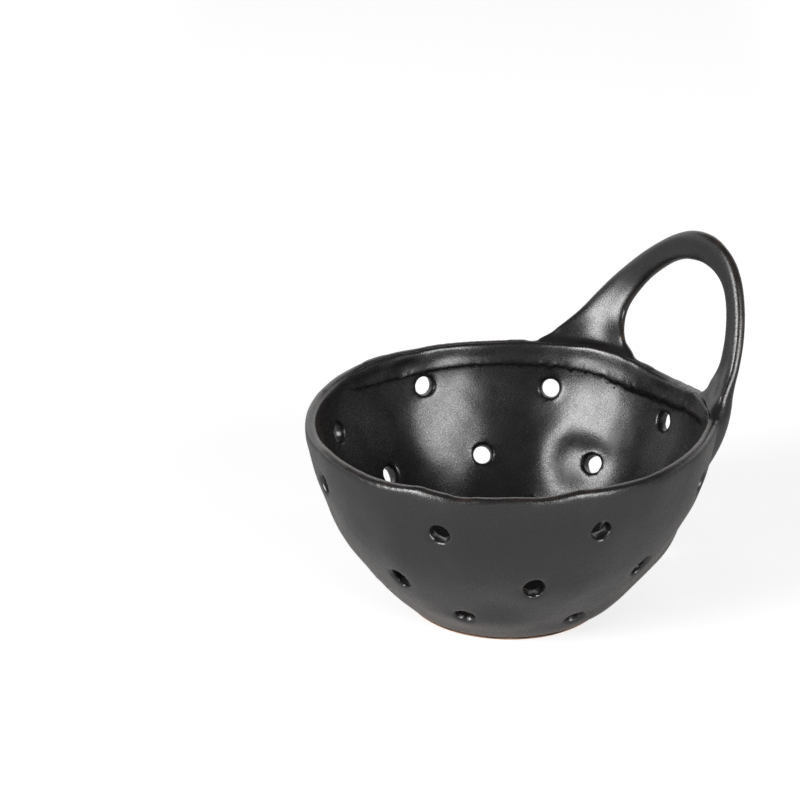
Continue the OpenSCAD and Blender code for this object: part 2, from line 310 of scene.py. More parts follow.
def rounded(x, power):
    """Cosine or sine of a rounded square instead of a circle, which is power 2."""
    return (1 if x > 0 else -1) * abs(x) ** (2 / power)


def spline(p, q, r, w, f):
    """Value at share f of the way from q to r, with p before them and w after."""
    squared = f * f * (2 * p - 5 * q + 4 * r - w) / 2
    cubed = f * f * f * (3 * q - p - 3 * r + w) / 2
    return q + f * (r - p) / 2 + squared + cubed


def curve(shares, s):
    """Value at s of a smooth curve through a list, one item per unit of s."""
    last = len(shares) - 1
    i = min(int(s), last - 1)
    return spline(shares[max(i - 1, 0)], shares[i], shares[i + 1], shares[min(i + 2, last)], s - i)


def blend_points(points, a):
    """Value at angle a, eased between the places given as (angle, value)."""
    if a <= points[0][0]:
        return points[0][1]
    for (a0, v0), (a1, v1) in zip(points, points[1:]):
        if a <= a1:
            return v0 + (v1 - v0) * smooth((a - a0) / (a1 - a0))
    return points[-1][1]


def angle_of(co):
    """Angle of a place round the bowl's axis, in degrees."""
    return atan2(co.y, co.x) * 180 / pi


def calm(a):
    """0 under the handle, where the wall is even, and 1 away from it."""
    return smooth((abs(wrap(a)) - CALM_ANGLE) / CALM_BLEND)


def rim_z(a):
    return BOWL_H + MM * blend_points(RIM_WAVE, wrap(a))


def outer_r(t):
    """Radius of the wall's outer face at height share t."""
    return BASE_R + (BOWL_R - BASE_R) * (1 - (1 - clamp(t)) ** BELLY)


def outer_slope(t):
    return (BOWL_R - BASE_R) * BELLY * (1 - clamp(t)) ** (BELLY - 1) / BOWL_H


def inner_r(t):
    z = FOOT_H + t * (BOWL_H - FOOT_H)
    stout = STOUT * smooth((STOUT_FROM - z) / (STOUT_FROM - STOUT_FULL))
    return outer_r(t) - WALL_T * sqrt(1 + outer_slope(t) ** 2) - stout


def dent(a, t):
    """Push of the finger dents on the wall, outwards, at angle a and height share t."""
    total = 0.0
    for angle, height, across, up, push, flat in DENTS:
        x = radians(wrap(a - angle)) * outer_r(t) / (across * MM)
        y = (t - height) * BOWL_H / (up * MM)
        total += push * MM * exp(-(x * x + y * y) ** flat)
    fade = smooth(t / FADE_AT_FOOT) * smooth((1 - t) / FADE_AT_RIM)
    return total * fade * (1 - (1 - calm(a)) * smooth((t - TONGUE_SHARE) / FADE_AT_RIM))


def leg_pull(a, t):
    """How far the lip is drawn outwards into the handle's right leg."""
    near = exp(-(wrap(a - PULL_ANGLE) / PULL_REACH) ** 2)
    return PULL_OUT * near * smooth((t - 1) / PULL_SHARE + 1)


def hand_marks(co):
    """Shallow unevenness that hands leave on clay."""
    slow = noise.noise(co / MARK_SIZE)
    return MARK_DEPTH * (slow + FINE_SHARE * noise.noise(co / MARK_SIZE * FINE_MARKS + FINE_PLACE))


def finish_mesh(name, bm):
    """Makes an object of a closed bmesh whose faces point outwards."""
    bmesh.ops.remove_doubles(bm, verts=bm.verts, dist=MERGE_GAP)
    bmesh.ops.recalc_face_normals(bm, faces=bm.faces)
    mesh = bpy.data.meshes.new(name)
    bm.to_mesh(mesh)
    bm.free()
    obj = bpy.data.objects.new(name, mesh)
    bpy.context.scene.collection.objects.link(obj)
    return obj


def add_modifier(obj, kind, **settings):
    mod = obj.modifiers.new(kind.lower(), kind)
    for key, value in settings.items():
        setattr(mod, key, value)


def soften(obj, rounds, group=""):
    add_modifier(obj, "SMOOTH", factor=SOFTEN_FACTOR, iterations=rounds, vertex_group=group)


def apply_modifiers(obj):
    graph = bpy.context.evaluated_depsgraph_get()
    mesh = bpy.data.meshes.new_from_object(obj.evaluated_get(graph))
    obj.modifiers.clear()
    old = obj.data
    obj.data = mesh
    bpy.data.meshes.remove(old)


def boolean(obj, tool, operation):
    add_modifier(obj, "BOOLEAN", operation=operation, solver="MANIFOLD", object=tool)
    apply_modifiers(obj)


def remove(obj):
    mesh = obj.data
    bpy.data.objects.remove(obj)
    bpy.data.meshes.remove(mesh)


def duplicate(obj, name):
    other = bpy.data.objects.new(name, obj.data.copy())
    bpy.context.scene.collection.objects.link(other)
    return other


def join_to(obj, other):
    bm = bmesh.new()
    bm.from_mesh(obj.data)
    bm.from_mesh(other.data)
    bm.to_mesh(obj.data)
    bm.free()


# The bowl as it left the wheel: a profile spun round the axis, then its rim
# waved and its wall dented
def lip_place(turn, grow):
    """Place on the lip's squarish round, turned from its outer side."""
    return (
        BOWL_R - LIP_R + (LIP_R + grow) * rounded(cos(turn), LIP_POWER),
        BOWL_H - LIP_R + (LIP_R + grow) * rounded(sin(turn), LIP_POWER))


def wall_rows(grow):
    """Profile of the wall's outer face, moved out by grow."""
    shares = [i / WALL_ROWS for i in range(WALL_ROWS + 1)]
    return [(outer_r(t) + grow, FOOT_H + t * WALL_H) for t in shares]


def bowl_profile():
    """Profile from the middle of the underside over the lip to the middle of the floor."""
    rows = [(0, FOOT_H)] + wall_rows(0)
    rows += [lip_place(pi * i / LIP_ROWS, 0) for i in range(1, LIP_ROWS)]
    cove_t = (FLOOR_Z + COVE_H - FOOT_H) / (BOWL_H - FOOT_H)
    for i in range(WALL_ROWS + 1):
        t = 1 - (1 - cove_t) * i / WALL_ROWS
        rows.append((inner_r(t), FOOT_H + t * WALL_H))
    start = rows[-1]
    corner = (start[0] - COVE_CORNER, FLOOR_Z)
    end = (start[0] - COVE_END, FLOOR_Z)
    for i in range(1, COVE_ROWS + 1):
        s = i / COVE_ROWS
        rows.append(tuple(
            start[k] * (1 - s) ** 2 + corner[k] * 2 * s * (1 - s) + end[k] * s * s for k in (0, 1)))
    return rows + [(0, FLOOR_Z)]


def spun(rows):
    """Bmesh of a profile, given as radius and height, spun round the bowl's axis."""
    bm = bmesh.new()
    verts = [bm.verts.new((r, 0, z)) for r, z in rows]
    edges = [bm.edges.new(pair) for pair in zip(verts, verts[1:])]
    bmesh.ops.spin(
        bm, geom=verts + edges, cent=(0, 0, 0), axis=(0, 0, 1), dvec=(0, 0, 0),
        angle=2 * pi, steps=AROUND, use_merge=True, use_duplicate=False)
    bmesh.ops.remove_doubles(bm, verts=bm.verts, dist=MERGE_GAP)
    return bm


def hand_shape(co):
    """Moves a point of the spun bowl to its place on the hand-made one."""
    r, a = hypot(co.x, co.y), atan2(co.y, co.x)
    deg = a * 180 / pi
    t = (co.z - FOOT_H) / (BOWL_H - FOOT_H)
    r += dent(deg, t) + leg_pull(deg, t)
    r += hand_marks(co) * smooth(t / FADE_AT_FOOT) * smooth((1 - t) / FADE_AT_FOOT)
    z = FOOT_H + (co.z - FOOT_H) * (rim_z(deg) - FOOT_H) / (BOWL_H - FOOT_H)
    return Vector((r * cos(a), r * sin(a), z))


def shape_by_hand(bm, lowest):
    for v in bm.verts:
        if v.co.z > lowest and hypot(v.co.x, v.co.y) > AXIS_GAP:
            v.co = hand_shape(v.co)


def thrown_bowl():
    bm = spun(bowl_profile())
    shape_by_hand(bm, 0)
    return finish_mesh("bowl_wall", bm)


def envelope(grow):
    """Everything inside the bowl's outer face, up to its rim, grown by a hair."""
    rows = [(0, ENVELOPE_FROM), (BASE_R + grow, ENVELOPE_FROM)] + wall_rows(grow)
    rows += [lip_place(pi * i / LIP_ROWS, grow) for i in range(1, LIP_ROWS // 2 + 1)]
    bm = spun(rows + [(0, BOWL_H + grow)])
    shape_by_hand(bm, FOOT_H)
    return finish_mesh("envelope", bm)


def drill(bm, length, place):
    radius = HOLE_D / 2
    bmesh.ops.create_cone(
        bm, cap_ends=True, segments=DRILL_SIDES, radius1=radius, radius2=radius, depth=length, matrix=place)


def drain_cutters():
    """All the drain holes' drills, as one mesh."""
    bm = bmesh.new()
    for row, (first, height, nudges, lifts) in enumerate(HOLE_ROWS):
        for i, (nudge, lift) in enumerate(zip(nudges, lifts)):
            t = height + lift * HOLE_D / BOWL_H
            level, tall = LEVEL_POKES.get((row, i), (0, 1))
            middle = (outer_r(t) + inner_r(t)) / 2
            drill(bm, WALL_DRILL_L, (
                Matrix.Rotation(radians(first + 360 * i / HOLES_AROUND + nudge), 4, "Z")
                @ Matrix.Translation((middle, 0, FOOT_H + t * (BOWL_H - FOOT_H)))
                @ Matrix.Rotation(pi / 2 + atan(outer_slope(t)) * (1 - level), 4, "Y")
                @ Matrix.Diagonal((tall, 1, 1, 1))))
    for i in range(FLOOR_HOLES):
        turn = Matrix.Rotation(2 * pi * i / FLOOR_HOLES, 4, "Z")
        drill(bm, FLOOR_DRILL_L, turn @ Matrix.Translation((FLOOR_RING_R, 0, 0)))
    return finish_mesh("drains", bm)


# The handle's strap
def strap_point(u, v, b):
    """Place that is u across, v up from the rim and b out from the strap's middle."""
    k = 1 - clamp(v / LOOP_RISE)
    if v < 0:
        r = outer_r(1 + v / BOWL_H) + LOOP_STAND * max(0, 1 + v / TONGUE_L)
    else:
        r = BOWL_R + LOOP_STAND + LOOP_LEAN * v / LOOP_RISE
    bend = asin(clamp(k * u / r, -1, 1))
    x = r - k * (r - sqrt(r * r - u * u))
    return Vector((x + b * cos(bend), u + b * sin(bend), RIM_TOP + v - b * LOOP_LEAN / LOOP_RISE))


def edge_place(edge, s):
    return [curve([place[k] for place in edge], s) * MM for k in (0, 1)]


def strap_vertex(s, turn):
    """Point of the strap's skin at station s, turned round its section."""
    power = curve(LOOP_POWER, s)
    off = wrap(turn * 180 / pi - GROOVE_TURN) / GROOVE_WIDTH
    pressed = 1 - max(curve(LOOP_GROOVE, s), 0) * exp(-off * off)
    share = (1 + pressed * rounded(cos(turn), power)) / 2
    out = pressed * STRAP_T / 2 * max(curve(LOOP_THICK, s), 0) * rounded(sin(turn), power)
    out += curve(LOOP_BOW, s) * MM
    (u0, v0), (u1, v1) = edge_place(LOOP_INNER, s), edge_place(LOOP_OUTER, s)
    u, v = u0 + (u1 - u0) * share, v0 + (v1 - v0) * share
    hug = HUG * smooth(1 - v / (HUG_SHARE * LOOP_RISE)) * clamp(1 + v / TONGUE_L)
    side = 2 * share - 1
    return strap_point(u, v, out - hug * side * side * (curve(OUTER_HUG, s) if side > 0 else 1))


def strap():
    bm = bmesh.new()
    stations = len(LOOP_OUTER) - 1
    bmesh.ops.create_grid(bm, x_segments=stations * STATION_STEPS, y_segments=SECTION_STEPS, size=1)
    for v in bm.verts:
        v.co = strap_vertex((v.co.x + 1) / 2 * stations, (v.co.y + 1) * pi)
    return finish_mesh("handle_loop", bm)


# Firing: bowl and strap melt into one skin, which is softened and then parted
def sharp_places(obj):
    """Tree of the places where the skin has a sharp edge, such as round the holes."""
    bm = bmesh.new()
    bm.from_mesh(obj.data)
    places = [
        vert.co.copy() for edge in bm.edges if edge.calc_face_angle(0) > SHARP for vert in edge.verts]
    bm.free()
    tree = KDTree(len(places))
    for i, place in enumerate(places):
        tree.insert(place, i)
    tree.balance()
    return tree


def skin_weights(obj, bowl_tree, loop_tree, sharp_tree):
    """Vertex groups of the smeared roots, and of the plain skin away from edges and lip."""
    roots = obj.vertex_groups.new(name="roots")
    plain = obj.vertex_groups.new(name="plain")
    for v in obj.data.vertices:
        strap_gap = loop_tree.find_nearest(v.co)[3]
        gap = max(bowl_tree.find_nearest(v.co)[3], strap_gap)
        weight = smooth(ROOT_GAIN * (1 - gap / ROOT_REACH))
        if weight > 0:
            roots.add([v.index], weight, "REPLACE")
        below_lip = rim_z(angle_of(v.co)) - 2 * LIP_R - v.co.z
        clear = min(strap_gap, below_lip, sharp_tree.find(v.co)[2]) - EDGE_KEEP
        if clear > 0:
            plain.add([v.index], smooth(clear / EDGE_KEEP), "REPLACE")


def skin_turn(mesh, rounds):
    """How sharply the skin turns outwards, per millimetre, averaged over rounds of neighbours."""
    n = len(mesh.vertices)
    co, normal = np.empty(n * 3), np.empty(n * 3)
    mesh.vertices.foreach_get("co", co)
    mesh.vertices.foreach_get("normal", normal)
    co, normal = co.reshape(-1, 3), normal.reshape(-1, 3)
    pairs = np.empty(len(mesh.edges) * 2, int)
    mesh.edges.foreach_get("vertices", pairs)
    a, b = pairs.reshape(-1, 2).T
    count = np.bincount(a, minlength=n) + np.bincount(b, minlength=n)

    def average(values):
        total = np.bincount(a, values[b], n) + np.bincount(b, values[a], n)
        return total / count

    mean = np.stack([average(co[:, k]) for k in range(3)], 1)
    bulge = ((co - mean) * normal).sum(1)
    for _ in range(rounds):
        bulge = average(bulge)
    # On square facets a vertex stands out from its neighbours' mean by a quarter
    # of the turn times the spacing squared
    spacing = np.linalg.norm(co[a] - co[b], axis=1).mean()
    return bulge * 4 / spacing ** 2 * MM


def store(obj, name, values):
    """Stores one value per vertex, for the glaze to read."""
    attribute = obj.data.attributes.new(name, "FLOAT", "POINT")
    attribute.data.foreach_set("value", values)


def fire(pot, loop, voxel):
    """Melts the strap into the bowl, with square facets of one size."""
    graph = bpy.context.evaluated_depsgraph_get()
    trees = [BVHTree.FromObject(obj, graph) for obj in (pot, loop)]
    trees.append(sharp_places(pot))
    join_to(pot, loop)
    add_modifier(pot, "REMESH", mode="VOXEL", voxel_size=voxel)
    apply_modifiers(pot)
    skin_weights(pot, *trees)
    finer = (SOFTEN_VOXEL / voxel) ** 2
    soften(pot, SOFTEN)
    soften(pot, round(ROOT_SOFTEN * finer), "roots")
    soften(pot, round(PLAIN_SOFTEN * finer), "plain")
    apply_modifiers(pot)
    # Fired glaze breaks brown where the skin turns sharply outwards
    store(pot, "edge_turn", skin_turn(pot.data, TURN_ROUNDS))


def fired_pot():
    """The fired bowl with its handle, and again, finer, only what is near the handle."""
    pot = thrown_bowl()
    cutters = drain_cutters()
    boolean(pot, cutters, "DIFFERENCE")
    remove(cutters)
    bm = bmesh.new()
    bmesh.ops.create_cube(bm, size=2 * BOWL_R, matrix=Matrix.Translation((HANDLE_SIDE + BOWL_R, 0, BOWL_R)))
    block = finish_mesh("block", bm)
    near = duplicate(pot, "near")
    boolean(near, block, "INTERSECT")
    remove(block)
    loop = strap()
    fire(pot, loop, BOWL_VOXEL)
    fire(near, loop, HANDLE_VOXEL)
    remove(loop)
    return pot, near


def sharpen_seam(obj):
    """Splits the shading along the luted seam, where faces of the cut begin."""
    bm = bmesh.new()
    bm.from_mesh(obj.data)
    for face in bm.faces:
        face.smooth = True
    for edge in bm.edges:
        if len({face.material_index for face in edge.link_faces}) > 1:
            edge.smooth = False
    for face in bm.faces:
        face.material_index = 0
    bm.to_mesh(obj.data)
    bm.free()


# The strip inside the rim
def strip_tears(a):
    """The torn edge at angle a: its rise and fall, how torn and how smeared it is."""
    tears = noise.noise(Vector((a * TEAR_STEPS, TEAR_PLACE, 0)))
    tears += FINE_TEAR_SHARE * noise.noise(Vector((a * FINE_TEAR_STEPS, FINE_TEAR_PLACE, 0)))
    torn = smooth((TORN_REACH - abs(a - TORN_ANGLE)) / TEAR_BLEND)
    return tears, torn, smooth((a - SMEARED_FROM) / TEAR_BLEND)


def edge_lift(a):
    """How far tears lift the lower edge at angle a, in millimetres."""
    tears, torn, smeared = strip_tears(a)
    return (TEAR_LIFT + TORN_LIFT * torn + SMEARED_LIFT * smeared) * tears


def tip_share(a, angle):
    """0 at the strip's ends, and 1 from this angle on."""
    return smooth(min(a - STRIP_FROM, STRIP_TO - a) / angle)


def paint_shade_under_strip(obj):
    """Stores the painted shade on the wall under the strip's torn edge, where the glaze loses its shine."""
    values = []
    for v in obj.data.vertices:
        a = angle_of(v.co)
        below = blend_points(STRIP_EDGE, a) + edge_lift(a) - v.co.z / MM
        widening = smooth((SHADE_TURN - a) / SHADE_BLEND) * (1 + SHADE_RAGGED * strip_tears(a)[0])
        wide = SHADE_THIN + (SHADE_WIDE - SHADE_THIN) * widening
        share = smooth(below / SHADE_ABOVE + 1) * smooth((wide - below) / SHADE_BELOW)
        inside = hypot(v.co.x, v.co.y) < SHADE_INSIDE
        values.append(tip_share(a, STRIP_TIP / 2) * share if inside else 0)
    store(obj, "painted_shade", values)


def strip_vertex(a, turn):
    """Point of the strip at angle a, turned round its section."""
    places = len(STRIP_SECTION)
    s = turn * places
    i = int(s) % places
    ring = [STRIP_SECTION[(i + k) % places] for k in (-1, 0, 1, 2)]
    proud, down = (spline(*[place[k] for place in ring], s - int(s)) for k in (0, 1))
    tip = tip_share(a, STRIP_TIP)
    low = smooth((down - LOW_FROM) / LOW_BLEND)
    tears, torn, smeared = strip_tears(a)
    lumps = noise.noise(Vector((a * LUMP_STEPS[0], down * LUMP_STEPS[1], LUMP_PLACE)))
    proud *= (TIP_PROUD + (1 - TIP_PROUD) * tip) * (1 - SMEARED_THIN * smeared)
    proud += (LUMP_PROUD + SMEARED_LUMPS * smeared) * lumps * tip - TIP_SINK * (1 - tip)
    proud += low * tip * (TEAR_PROUD + TORN_PROUD * torn) * tears
    reach = (rim_z(a) / MM - blend_points(STRIP_EDGE, a)) / STRIP_DEPTH
    z = rim_z(a) - down * (1 + (reach - 1) * smooth(down / STRIP_DEPTH)) * MM
    z += low * edge_lift(a) * MM
    t = (z - FOOT_H) / (rim_z(a) - LIP_R - FOOT_H)
    r = inner_r(min(t, 1)) + dent(a, t) + leg_pull(a, t) - proud * MM
    return Vector((r * cos(radians(a)), r * sin(radians(a)), z))


def rim_strip():
    bm = bmesh.new()
    bmesh.ops.create_grid(
        bm, x_segments=STRIP_STEPS, y_segments=STRIP_PLACE_STEPS * len(STRIP_SECTION), size=1)
    for v in bm.verts:
        share = (v.co.x + 1) / 2
        v.co = strip_vertex(STRIP_FROM + (STRIP_TO - STRIP_FROM) * share, (v.co.y + 1) / 2)
    bmesh.ops.remove_doubles(bm, verts=bm.verts, dist=MERGE_GAP)
    ends = [edge for edge in bm.edges if edge.is_boundary]
    bmesh.ops.holes_fill(bm, edges=ends, sides=0)
    for a, height, length, tall, thick, tilt in SLIP_SMEARS:
        z = height * MM
        t = (z - FOOT_H) / (rim_z(a) - LIP_R - FOOT_H)
        place = (
            Matrix.Rotation(radians(a), 4, "Z") @ Matrix.Translation((inner_r(t) + dent(a, t), 0, z))
            @ Matrix.Rotation(radians(tilt), 4, "X") @ Matrix.Diagonal((thick, length, tall, 1)))
        bmesh.ops.create_icosphere(bm, subdivisions=2, radius=MM, matrix=place)
    obj = finish_mesh("rim_strip_piece", bm)
    add_modifier(obj, "REMESH", mode="VOXEL", voxel_size=STRIP_VOXEL)
    soften(obj, STRIP_SOFTEN)
    apply_modifiers(obj)
    return obj


def foot():
    """Bare clay foot, a little out of true, with the floor's drain holes."""
    rows = [(0, 0), (FOOT_R / 2, 0)]
    rows += [(FOOT_R - x * FOOT_BEVEL, z * FOOT_BEVEL) for x, z in FOOT_EDGE]
    bm = spun(rows + [(FOOT_R, FOOT_H), (0, FOOT_H)])
    for v in bm.verts:
        wobble = 1 + FOOT_WOBBLE * noise.noise(v.co * WOBBLE_STEPS)
        v.co.x *= wobble
        v.co.y *= wobble
    obj = finish_mesh("foot_piece", bm)
    cutters = drain_cutters()
    boolean(obj, cutters, "DIFFERENCE")
    remove(cutters)
    return obj


# Materials
BLACK_GLAZE = (0.0080, 0.0074, 0.0076, 1)
BROKEN_GLAZE = (0.085, 0.048, 0.032, 1)
BARE_CLAY = (0.52, 0.34, 0.22, 1)
TOASTED_CLAY = (0.36, 0.19, 0.11, 1)
SHEEN_TINT = (0.95, 0.62, 0.48, 1)
# Mottling's noise steps per millimetre. Pits: which share of the cells has none,
# and the distances from a cell's middle between which its pit ends
MOTTLING_STEPS = 0.16
PITLESS = 0.72
PIT_EDGE = (0.12, 0.3)
# Glaze breaks brown between these turns of the skin per millimetre, by this much
# at most, patchily: factor and addend of the mottling
BREAK_TURNS = (0.3, 1.1)
BREAK_MOST = 0.8
PATCHES = (4.0, -1.4)
# Roughness of the glaze over the range of its speckle, which is so much of the
# grain plus the mottling. Its shine, which is taken away as painted shade under
# the strip's torn edge, and how deep a pit is for the grain
GRAIN_IN_SPECKLE = 2.0
SPECKLE = (1.1, 1.9)
GLAZE_ROUGH = (0.22, 0.36)
GLAZE_SHINE = 0.5
GLAZE_PITS = 0.4
GLAZE_BUMP = 0.05 * MM
CLAY_BUMP = 0.06 * MM
# Heights in millimetres between which the foot's glaze begins, with its waviness
GLAZE_FROM = (0.75, 1.05)
GLAZE_WAVES = 0.6


def new_node(tree, kind, inputs=None, **settings):
    node = tree.nodes.new(kind)
    for key, value in settings.items():
        setattr(node, key, value)
    for key, value in (inputs or {}).items():
        socket = node.inputs[key]
        if isinstance(value, bpy.types.NodeSocket):
            tree.links.new(value, socket)
        else:
            socket.default_value = value
    return node


def new_material(name):
    mat = bpy.data.materials.new(name)
    mat.use_nodes = True
    mat.node_tree.nodes.clear()
    return mat, mat.node_tree


def calc(tree, operation, a, b, clamped=False):
    return new_node(tree, "ShaderNodeMath", {0: a, 1: b}, operation=operation, use_clamp=clamped).outputs[0]


def multiply_add(tree, value, factor, rest):
    inputs = {0: value, 1: factor, 2: rest}
    return new_node(tree, "ShaderNodeMath", inputs, operation="MULTIPLY_ADD").outputs[0]


def ramp(tree, value, start, end, low=0.0, high=1.0, kind="LINEAR"):
    """Value between start and end, turned into one between low and high."""
    return new_node(tree, "ShaderNodeMapRange", {
        "Value": value, "From Min": start, "From Max": end, "To Min": low, "To Max": high},
        interpolation_type=kind).outputs[0]


def reach_along(tree, place, direction):
    """How far a place lies along a direction of the picture."""
    inputs = {0: place, 1: turned @ Vector(direction)}
    return new_node(tree, "ShaderNodeVectorMath", inputs, operation="DOT_PRODUCT").outputs["Value"]


def mix_colour(tree, factor, a, b):
    node = new_node(tree, "ShaderNodeMix", data_type="RGBA")
    sockets = {s.identifier: s for s in node.inputs}
    for key, value in (("Factor_Float", factor), ("A_Color", a), ("B_Color", b)):
        if isinstance(value, bpy.types.NodeSocket):
            tree.links.new(value, sockets[key])
        else:
            sockets[key].default_value = value
    return next(s for s in node.outputs if s.identifier == "Result_Color")


def clay_grain_group():
    """Fine grain, pits and slow mottling of fired clay, for the glaze and the foot."""
    group = bpy.data.node_groups.new("clay_grain", "ShaderNodeTree")
    face = group.interface
    face.new_socket("Place", in_out="INPUT", socket_type="NodeSocketVector")
    face.new_socket("Grain per mm", in_out="INPUT", socket_type="NodeSocketFloat")
    face.new_socket("Pits per mm", in_out="INPUT", socket_type="NodeSocketFloat")
    for name in ("Grain", "Pits", "Mottling"):
        face.new_socket(name, in_out="OUTPUT", socket_type="NodeSocketFloat")
    ins = group.nodes.new("NodeGroupInput").outputs
    outs = group.nodes.new("NodeGroupOutput").inputs
    grain = new_node(group, "ShaderNodeTexNoise", {
        "Vector": ins["Place"], "Scale": ins["Grain per mm"], "Detail": 3.0, "Roughness": 0.6})
    cells = new_node(group, "ShaderNodeTexVoronoi", {"Vector": ins["Place"], "Scale": ins["Pits per mm"]})
    picked = calc(group, "GREATER_THAN", cells.outputs["Color"], PITLESS)
    pit = ramp(group, cells.outputs["Distance"], *PIT_EDGE, 1.0, 0.0)
    mottling = new_node(group, "ShaderNodeTexNoise", {
        "Vector": ins["Place"], "Scale": MOTTLING_STEPS, "Detail": 4.0})
    group.links.new(grain.outputs["Fac"], outs["Grain"])
    group.links.new(calc(group, "MULTIPLY", picked, pit), outs["Pits"])
    group.links.new(mottling.outputs["Fac"], outs["Mottling"])
    return group


def clay_coordinates(tree):
    """Object coordinates in millimetres."""
    place = new_node(tree, "ShaderNodeTexCoord").outputs["Object"]
    inputs = {0: place, 1: (1 / MM, 1 / MM, 1 / MM)}
    return new_node(tree, "ShaderNodeVectorMath", inputs, operation="MULTIPLY").outputs[0]


def black_glaze(grain_group):
    """Satin black glaze, brown where it thins over edges, with fine pits, and painted shade without shine
    under the strip's torn edge.
    """
    mat, tree = new_material("black_glaze")
    grain = new_node(tree, "ShaderNodeGroup", {
        "Place": clay_coordinates(tree), "Grain per mm": 2.0, "Pits per mm": 1.1},
        node_tree=grain_group).outputs
    turn = new_node(tree, "ShaderNodeAttribute", attribute_name="edge_turn").outputs["Fac"]
    edge = ramp(tree, turn, *BREAK_TURNS, 0.0, BREAK_MOST, "SMOOTHSTEP")
    patchy = multiply_add(tree, grain["Mottling"], *PATCHES)
    broken = calc(tree, "MULTIPLY", edge, patchy, clamped=True)
    colour = mix_colour(tree, broken, BLACK_GLAZE, BROKEN_GLAZE)
    speckle = multiply_add(tree, grain["Grain"], GRAIN_IN_SPECKLE, grain["Mottling"])
    rough = ramp(tree, speckle, *SPECKLE, *GLAZE_ROUGH)
    # Painted shade: the glaze loses its shine under the strip's torn edge, which darkens it there
    painted_shade = new_node(tree, "ShaderNodeAttribute", attribute_name="painted_shade").outputs["Fac"]
    shine = multiply_add(tree, painted_shade, -GLAZE_SHINE, GLAZE_SHINE)
    height = multiply_add(tree, grain["Pits"], -GLAZE_PITS, grain["Grain"])
    bump = new_node(tree, "ShaderNodeBump", {"Strength": 1.0, "Distance": GLAZE_BUMP, "Height": height})
    shader = new_node(tree, "ShaderNodeBsdfPrincipled", {
        "Base Color": colour, "Roughness": rough, "IOR": 1.8, "Specular IOR Level": shine,
        "Normal": bump.outputs[0], "Sheen Weight": 0.08, "Sheen Roughness": 0.3, "Sheen Tint": SHEEN_TINT})
    new_node(tree, "ShaderNodeOutputMaterial", {"Surface": shader.outputs[0]})
    return mat


def bare_clay(grain_group):
    """Buff clay, toasted in places, and glazed just above the table."""
    mat, tree = new_material("bare_clay")
    place = clay_coordinates(tree)
    grain = new_node(tree, "ShaderNodeGroup", {
        "Place": place, "Grain per mm": 1.8, "Pits per mm": 0.9}, node_tree=grain_group).outputs
    up = new_node(tree, "ShaderNodeSeparateXYZ", {0: place}).outputs["Z"]
    wavy = calc(tree, "ADD", up, calc(tree, "MULTIPLY", grain["Mottling"], GLAZE_WAVES))
    body = mix_colour(tree, grain["Grain"], BARE_CLAY, TOASTED_CLAY)
    colour = mix_colour(tree, ramp(tree, wavy, *GLAZE_FROM), body, BLACK_GLAZE)
    height = calc(tree, "SUBTRACT", grain["Grain"], grain["Pits"])
    bump = new_node(tree, "ShaderNodeBump", {"Strength": 1.0, "Distance": CLAY_BUMP, "Height": height})
    shader = new_node(tree, "ShaderNodeBsdfPrincipled", {
        "Base Color": colour, "Roughness": 0.85, "IOR": 1.45, "Normal": bump.outputs[0]})
    new_node(tree, "ShaderNodeOutputMaterial", {"Surface": shader.outputs[0]})
    return mat


def dress(obj, node, material):
    obj.data.materials.clear()
    obj.data.materials.append(material)
    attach(obj, "root")
    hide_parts(node)


def build_pot():
    grain_group = clay_grain_group()
    glaze, clay = black_glaze(grain_group), bare_clay(grain_group)
    bowl, handle = fired_pot()
    bowl.name, handle.name = "bowl_piece", "handle_piece"
    skin = envelope(SEAM_GROW)
    for obj in (bowl, handle, skin):
        obj.data.materials.append(glaze)
    # The second material marks the faces of the cut, for sharpen_seam
    skin.data.materials.append(clay)
    for face in skin.data.polygons:
        face.material_index = 1
    boolean(handle, skin, "DIFFERENCE")
    boolean(bowl, skin, "INTERSECT")
    remove(skin)
    strip = rim_strip()
    base = foot()
    for obj in (bowl, handle, strip):
        sharpen_seam(obj)
    # Paints shade on the wall under the strip's torn edge
    paint_shade_under_strip(bowl)
    dress(bowl, "bowl_wall", glaze)
    dress(handle, "handle_loop", glaze)
    dress(strip, "rim_strip", glaze)
    dress(base, "foot", clay)


# Stage, seen from the photograph's place: TURN is how far the handle is turned
# from the picture's right
TURN = radians(-33)
CAMERA_AT = Vector((-37.3, -840.2, 429.7)) * MM
CAMERA_DOWN = radians(22.92)
LENS = 120
SENSOR = 36
# Softboxes: azimuth from the camera's side, + to its right, and elevation in
# degrees, distance, width and height in metres, and radiance
SOFTBOXES = {
    "left softbox": (-57, 17, 2.6, (1.1, 1.8), 10.5),
    "right softbox": (38, 16, 2.6, (1.1, 1.6), 8)
}
SOFTBOX_AIM = Vector((0, 0, 0.05))
# Floor: its own light as the camera sees it, the share that the glaze mirrors,
# and metres aside between which it turns dimmer but lights up more
FLOOR_SIZE = 12.0
FLOOR_GAP = 0.05 * MM
FLOOR_LIFT = 0.66
FLOOR_MIRRORED = 0.1
FLOOR_ASIDE = (0.15, 0.35)
ASIDE_LIFT = 0.4
FLOOR_PALE = (0.68, 0.68, 0.68, 1)
FLOOR_DIM = (0.3, 0.3, 0.3, 1)
# World: how its horizon rises behind the bowl, the height over it between which
# white ends, how dim it is on the camera's side, and the ceiling
HORIZON_RISE = (0.0, 0.7, 0.0, 0.35)
HORIZON_BAND = (0.15, 0.32, 1.0, 0.0)
NEAR_SIDE = (-0.1, 0.6, 0.3, 1.0)
CEILING = 0.1

turned = Matrix.Rotation(TURN, 3, "Z")


def add_camera():
    data = bpy.data.cameras.new("camera")
    data.lens = LENS
    data.sensor_width = SENSOR
    cam = bpy.data.objects.new("camera", data)
    cam.location = turned @ CAMERA_AT
    cam.rotation_euler = (pi / 2 - CAMERA_DOWN, 0, TURN)
    bpy.context.scene.collection.objects.link(cam)
    bpy.context.scene.camera = cam


